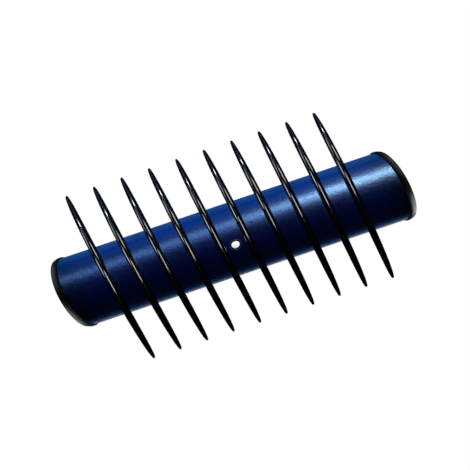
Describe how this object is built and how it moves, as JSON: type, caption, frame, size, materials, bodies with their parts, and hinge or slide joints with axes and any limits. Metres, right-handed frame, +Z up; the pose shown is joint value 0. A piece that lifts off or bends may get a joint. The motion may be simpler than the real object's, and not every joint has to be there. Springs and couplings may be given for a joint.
{
  "type": "hair roller",
  "caption": "Hair roller: a round blue barrel with slanted dark end caps, a row of bowed double-pointed tines across its crown and a white centre rivet.",
  "frame": {"origin": "under the middle of the roller's box, on the surface that it lies on", "axes": "+X along the barrel towards the right-hand cap, +Z up through the crown that carries the tines, +Y across the barrel towards the longer points of the tines"},
  "size_m": [0.0958, 0.0462, 0.0223],
  "materials": {
    "barrel_blue": "satin gloss, faint moulded speckle",
    "cap_charcoal": "satin",
    "strip_black": "matte",
    "rivet_white": "gloss",
    "seat_navy": "satin gloss",
    "tine_black": "high gloss"
  },
  "bodies": {
    "root": {"barrel": "barrel_blue", "end_cap_left": "cap_charcoal", "end_cap_right": "cap_charcoal", "backing_strip": "strip_black", "centre_rivet": "rivet_white", "rivet_seat": "seat_navy", "tine_01": "tine_black", "tine_02": "tine_black", "tine_03": "tine_black", "tine_04": "tine_black", "tine_05": "tine_black", "tine_06": "tine_black", "tine_07": "tine_black", "tine_08": "tine_black", "tine_09": "tine_black", "tine_10": "tine_black"}
  },
  "joints": []
}
